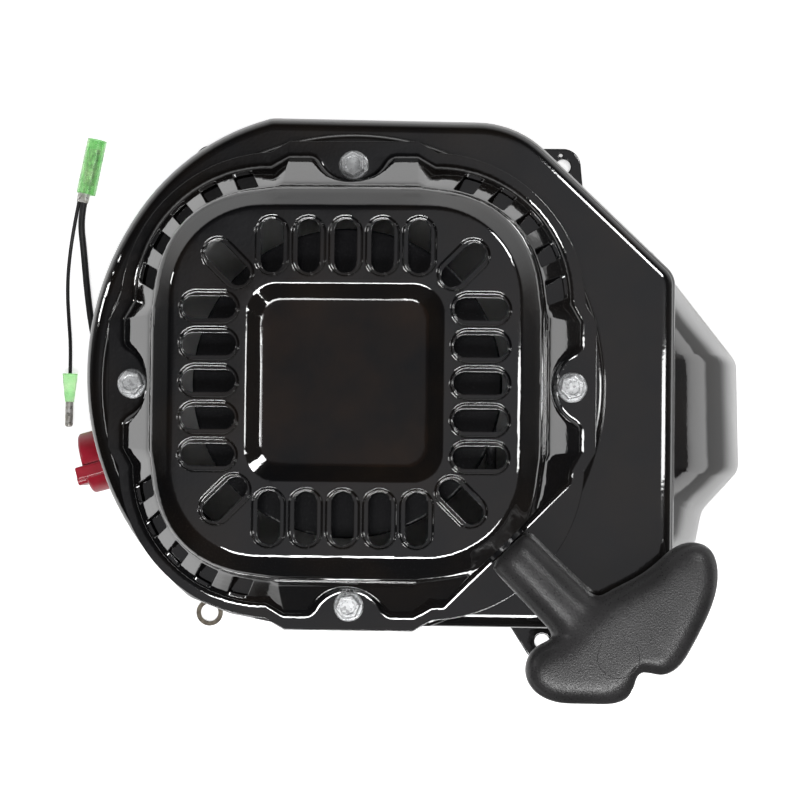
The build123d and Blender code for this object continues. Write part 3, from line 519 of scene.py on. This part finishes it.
cord_black, tree, shader = new_material("rope_braid", (0.035, 0.035, 0.038), 0.6)
weave = grain(tree, 1400, detail=2)
tree.links.new(two_colours(tree, weave, (0.02, 0.02, 0.022), (0.08, 0.08, 0.085)),
               shader.inputs["Base Color"])
relief(tree, shader, [(weave, 0.0002)])
finish_nodes(cord_black, "rope_on_reel")

# it leaves the reel's top turn on a tangent and meets the pull line at the guide
guide_place = pull_way * guide_mouth
leave_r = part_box("rope_on_reel")[1][0] + rope_r + 0.0005
leave_turn = acos(leave_r / guide_mouth) - pi / 4
leave_place = Vector((leave_r * cos(leave_turn), leave_r * sin(leave_turn), 0))
rope_line = [leave_place.lerp(guide_place, step / leave_steps) for step in range(leave_steps)]
straight = knot_start - guide_mouth
rope_line += [pull_way * (guide_mouth + straight * step / pull_steps)
              for step in range(pull_steps + 1)]
for step in range(1, knot_steps + 1):
    turn = 2 * pi * knot_turns * step / knot_steps
    swing = knot_r * smooth_step(0, swing_steps, step)
    rope_line.append(pull_way * (knot_start + knot_length * step / knot_steps)
                     + across_way * swing * sin(turn)
                     + Vector((0, 0, swing * (1 - cos(turn)) - swing)))
rope_bmesh = bmesh.new()
rings = []
run = 0.0
for number, place in enumerate(rope_line):
    ahead = rope_line[min(number + 1, len(rope_line) - 1)]
    back = rope_line[max(number - 1, 0)]
    heading = (ahead - back).normalized()
    first = heading.cross(Vector((0, 0, 1))).normalized()
    second = first.cross(heading)
    run += (place - back).length
    ring = []
    for corner in range(rope_sides):
        turn = 2 * pi * corner / rope_sides
        lay = 2 * pi * run / braid_pitch
        strand = max(sin(4 * turn + lay), sin(4 * turn - lay))
        radius = rope_r - braid_depth * (1 - strand) / 2
        ring.append(rope_bmesh.verts.new(
            place + Vector((0, 0, rope_z)) + (first * cos(turn) + second * sin(turn)) * radius))
    rings.append(ring)
for low_ring, high_ring in zip(rings, rings[1:]):
    for corner in range(rope_sides):
        after = (corner + 1) % rope_sides
        rope_bmesh.faces.new((low_ring[corner], low_ring[after], high_ring[after],
                              high_ring[corner]))
rope_bmesh.faces.new(rings[0][::-1])
rope_bmesh.faces.new(rings[-1])
bmesh.ops.recalc_face_normals(rope_bmesh, faces=rope_bmesh.faces)
for face in rope_bmesh.faces:
    face.smooth = True
rope_mesh = mesh_from(rope_bmesh, "starter_rope")
rope_mesh.materials.append(cord_black)
rope = add_object("starter_rope", rope_mesh)
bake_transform(rope)
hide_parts("rope_run", "rope_tail")


# ---------------------------------------------------------------------------
# Pull handle. One rubbery plastic moulding with a fine spark-eroded grain. Its
# neck runs into a crowned T-grip, moulded here over the plain solid's form.
grip_voxel = 0.0011
rope_bore_r, knot_pocket_r = 0.0045, 0.0100
notch_place, notch_r, notch_depth = (0.1815, 0.0045), 0.0075, 0.0022
notch_share = 0.15                      # how much of the smoothing reaches the notch
bore_fade = 0.003                       # it sets in over this distance from the bore
smoothing_turns, smoothing_pull = 55, 0.5
ejector_place, ejector_r = (0.168, 0.0015), (0.0089, 0.0093)

blank = add_object("grip_blank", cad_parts["handle_grip"].data.copy())
moulding = blank.modifiers.new("moulding", "REMESH")
moulding.mode = "VOXEL"
moulding.voxel_size = grip_voxel
bpy.context.view_layer.update()
grip_mesh = bpy.data.meshes.new_from_object(
    blank.evaluated_get(bpy.context.evaluated_depsgraph_get()))
bpy.data.objects.remove(blank)
grip_points = np.empty(len(grip_mesh.vertices) * 3)
grip_mesh.vertices.foreach_get("co", grip_points)
grip_points = grip_points.reshape(-1, 3)
grip_edges = np.empty(len(grip_mesh.edges) * 2, int)
grip_mesh.edges.foreach_get("vertices", grip_edges)
grip_edges = grip_edges.reshape(-1, 2)
edge_ends = np.concatenate((grip_edges[:, 0], grip_edges[:, 1]))
far_ends = np.concatenate((grip_edges[:, 1], grip_edges[:, 0]))
joined = np.bincount(edge_ends, minlength=len(grip_points))


def smooth_steps(low, high, values):
    """smooth_step for a whole array."""
    share = np.clip((values - low) / (high - low), 0, 1)
    return share * share * (3 - 2 * share)


def on_grip(points):
    """Each point's place along the pull, across it, and off the rope's line."""
    along, side = points @ np.array(pull_way), points @ np.array(across_way)
    return along, side, np.hypot(side, points[:, 2] - rope_z)


along, side, off_axis = on_grip(grip_points)
bore = np.where(along < knot_seat, rope_bore_r, knot_pocket_r)
soft = smooth_steps(0.0, bore_fade, off_axis - bore)
from_notch = np.hypot(along - notch_place[0], side - notch_place[1])
soft *= notch_share + (1 - notch_share) * smooth_steps(notch_r, 2 * notch_r, from_notch)
for turn in range(smoothing_turns):
    middle = np.stack([np.bincount(edge_ends, grip_points[far_ends, axis], len(grip_points))
                       / joined for axis in range(3)], axis=1)
    grip_points += (middle - grip_points) * smoothing_pull * soft[:, None]
along, side, _ = on_grip(grip_points)
from_notch = np.hypot(along - notch_place[0], side - notch_place[1])
cut = notch_depth * (1 - smooth_steps(0.0, notch_r, from_notch))
grip_points -= cut[:, None] * np.array(pull_way)
grip_mesh.vertices.foreach_set("co", grip_points.ravel())
grip_mesh.polygons.foreach_set("use_smooth", [True] * len(grip_mesh.polygons))
grip_mesh.update()
grip_mesh.name = "pull_handle"

grip_plastic, tree, shader = new_material("grip_plastic", (0.024, 0.024, 0.0245), 0.36)
tree.links.new(two_colours(tree, grain(tree, 60, detail=4), (0.020, 0.0195, 0.020),
                           (0.030, 0.029, 0.030)), shader.inputs["Base Color"])
tree.links.new(between(tree, grain(tree, 1100, detail=2), 0.27, 0.42), shader.inputs["Roughness"])
shader.inputs["Sheen Weight"].default_value = 0.10
shader.inputs["Sheen Roughness"].default_value = 0.4
# the faint ring that the moulding tool's ejector leaves
ring_at = pull_way * ejector_place[0] + across_way * ejector_place[1]
where = tree.nodes.new("ShaderNodeTexCoord")
from_ring = tree.nodes.new("ShaderNodeVectorMath")
from_ring.operation = "MULTIPLY_ADD"
tree.links.new(where.outputs["Object"], from_ring.inputs[0])
from_ring.inputs[1].default_value = (1, 1, 0)
from_ring.inputs[2].default_value = (-ring_at.x, -ring_at.y, 0)
ring_r = tree.nodes.new("ShaderNodeVectorMath")
ring_r.operation = "LENGTH"
tree.links.new(from_ring.outputs[0], ring_r.inputs[0])
ring_line = map_range(tree, ring_r.outputs["Value"], ejector_r, soft=True)
relief(tree, shader, [(ring_line, 0.00012), (grain(tree, 1300, detail=2), 0.00010)])
grip_mesh.materials.clear()
grip_mesh.materials.append(grip_plastic)
grip = add_object("pull_handle", grip_mesh)
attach(grip, "handle")
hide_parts("handle_grip")


# ---------------------------------------------------------------------------
# Stop switch. Black moulded body and bezel, and a red moulded knob.
switch_plastic, tree, shader = new_material("switch_plastic", (0.02, 0.02, 0.021), 0.35)
relief(tree, shader, [(grain(tree, 900), 0.00002)], edge_r=0.0003)
finish_nodes(switch_plastic, "switch_bezel", "switch_body")
knob_red, tree, shader = new_material("knob_red", (0.34, 0.007, 0.022), 0.30)
tree.links.new(two_colours(tree, grain(tree, 120, detail=3), (0.30, 0.006, 0.018),
                           (0.40, 0.012, 0.032)), shader.inputs["Base Color"])
shader.inputs["Coat Weight"].default_value = 0.3
shader.inputs["Coat Roughness"].default_value = 0.15
relief(tree, shader, [(grain(tree, 700), 0.00003)], edge_r=0.0005)
finish_nodes(knob_red, "stop_knob")
# the wing that a thumb turns, moulded with the knob and standing over its rim
knob_place = Vector((-0.115592, -0.033146, 0.034))
knob_out = Vector((-0.96126, -0.27564, 0))
knob_down = Vector((0.27564, -0.96126, 0))
wing_near, wing_far, wing_foot, wing_top = 0.0015, 0.0148, 0.006, 0.0164
wing_side, wing_wide, wing_draft = 0.0042, 0.0070, 0.0006
wing_bmesh = bmesh.new()
bmesh.ops.create_cube(wing_bmesh, size=1.0)
for vert in wing_bmesh.verts:
    out = wing_far if vert.co.x > 0 else wing_near
    high = wing_top if vert.co.z > 0 else wing_foot
    half = wing_wide / 2 - (wing_draft if vert.co.z > 0 else 0)
    side = wing_side + (half if vert.co.y > 0 else -half)
    vert.co = knob_place + knob_out * out + knob_down * side + Vector((0, 0, high))
bmesh.ops.recalc_face_normals(wing_bmesh, faces=wing_bmesh.faces)
wing_mesh = mesh_from(wing_bmesh, "stop_knob_wing")
wing_mesh.materials.append(knob_red)
wing = add_object("stop_knob_wing", wing_mesh)
edges = wing.modifiers.new("edges", "BEVEL")
edges.width, edges.segments, edges.limit_method = 0.0008, 3, "NONE"
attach(wing, "knob")


# ---------------------------------------------------------------------------
# Terminals. Stamped and rolled from tinned brass strip.
tinned, tree, shader = new_material("tinned_brass", (0.66, 0.65, 0.62), 0.30, metallic=0.65)
tree.links.new(two_colours(tree, grain(tree, 500, detail=3), (0.50, 0.48, 0.42),
                           (0.80, 0.79, 0.77)), shader.inputs["Base Color"])
tree.links.new(between(tree, grain(tree, 600, detail=3), 0.2, 0.5), shader.inputs["Roughness"])
relief(tree, shader, [(grain(tree, 700), 0.00005)], edge_r=0.0002)
finish_nodes(tinned, "switch_terminal_1", "switch_terminal_2", "terminal_crimp_1",
             "terminal_crimp_2", "lead_splice", "female_terminal", "male_bullet")
# the earth ring has gone dull brown
dull_brass, tree, shader = new_material("dull_brass", (0.09, 0.075, 0.06), 0.42, metallic=0.8)
tree.links.new(two_colours(tree, grain(tree, 400, detail=4), (0.06, 0.05, 0.04),
                           (0.16, 0.14, 0.11)), shader.inputs["Base Color"])
relief(tree, shader, [(grain(tree, 600), 0.00005)], edge_r=0.0002)
finish_nodes(dull_brass, "ring_terminal")


# ---------------------------------------------------------------------------
# Clear sleeves. Soft translucent green vinyl pushed over both bullet terminals.
green_vinyl, tree, shader = new_material("green_vinyl", (0.45, 0.85, 0.42), 0.18, ior=1.40)
shader.inputs["Transmission Weight"].default_value = 0.85
tree.links.new(two_colours(tree, grain(tree, 160, detail=3), (0.36, 0.77, 0.34),
                           (0.66, 0.90, 0.58)), shader.inputs["Base Color"])
relief(tree, shader, [(grain(tree, 120), 0.00008)], edge_r=0.0004)
finish_nodes(green_vinyl, "female_sleeve", "male_boot")


# ---------------------------------------------------------------------------
# Leads. Stranded copper in soft black PVC. Two leave the stop switch inside
# the housing; the sleeved one ends in a socket, from which a thin branch runs
# back to a bullet, and the other one ends in the ring terminal for earth.
pvc_black, tree, shader = new_material("pvc_black", (0.014, 0.014, 0.015), 0.38)
tree.links.new(between(tree, grain(tree, 300, detail=3), 0.30, 0.50), shader.inputs["Roughness"])
relief(tree, shader, [(grain(tree, 500, detail=2), 0.00010)])


def lead(name, route, diameter):
    """A round lead along one smooth line with these points, in metres."""
    curve = bpy.data.curves.new(name, "CURVE")
    curve.dimensions = "3D"
    curve.bevel_depth = diameter / 2
    curve.bevel_resolution = 5
    curve.resolution_u = 16
    curve.use_fill_caps = True
    spline = curve.splines.new("NURBS")
    spline.points.add(len(route) - 1)
    for point, place in zip(spline.points, route):
        point.co = (*place, 1)
    spline.order_u = 3
    spline.use_endpoint_u = True
    curve.materials.append(pvc_black)
    piece = add_object(name, curve)
    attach(piece, "housing")
    return piece


# the sleeved lead, from the switch out under the rim to the crimp
sleeved_route = [(-0.097553, -0.022771, 0.02385), (-0.097553, -0.022771, 0.01285),
                 (-0.0955, -0.009, 0.0032), (-0.104, 0.004, 0.00175),
                 (-0.118, 0.0108, 0.0017), (-0.1284, 0.019, 0.0017),
                 (-0.1314, 0.034, 0.0017), (-0.1335, 0.050, 0.0017),
                 (-0.1349, 0.066, 0.0026), (-0.136346, 0.080461, 0.0047),
                 (-0.1347, 0.0888, 0.0047)]
sleeved = lead("lead_sleeved_pvc", sleeved_route, 0.0032)
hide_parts("lead_sleeved")

# the thin branch, from the same crimp back to the male bullet
branch_route = [(-0.137251, 0.089303, 0.0040), (-0.139187, 0.079493, 0.0040),
                (-0.1422, 0.062, 0.0011), (-0.1429, 0.047, 0.00095),
                (-0.1419, 0.032, 0.00095), (-0.14027, 0.0198, 0.0038),
                (-0.1404, 0.0068, 0.0038)]
branch = lead("lead_branch_pvc", branch_route, 0.0018)
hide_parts("lead_branch")

# the earth lead, from the switch to the ring under the lower rim
ground_route = [(-0.094797, -0.032383, 0.02385), (-0.094797, -0.032383, 0.01185),
                (-0.088, -0.046, 0.0030), (-0.077, -0.060, 0.0017),
                (-0.064, -0.069, 0.0017), (-0.064007, -0.081012, 0.0020),
                (-0.0667, -0.0896, 0.0020)]
ground = lead("lead_ground_pvc", ground_route, 0.0024)
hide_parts("lead_ground")
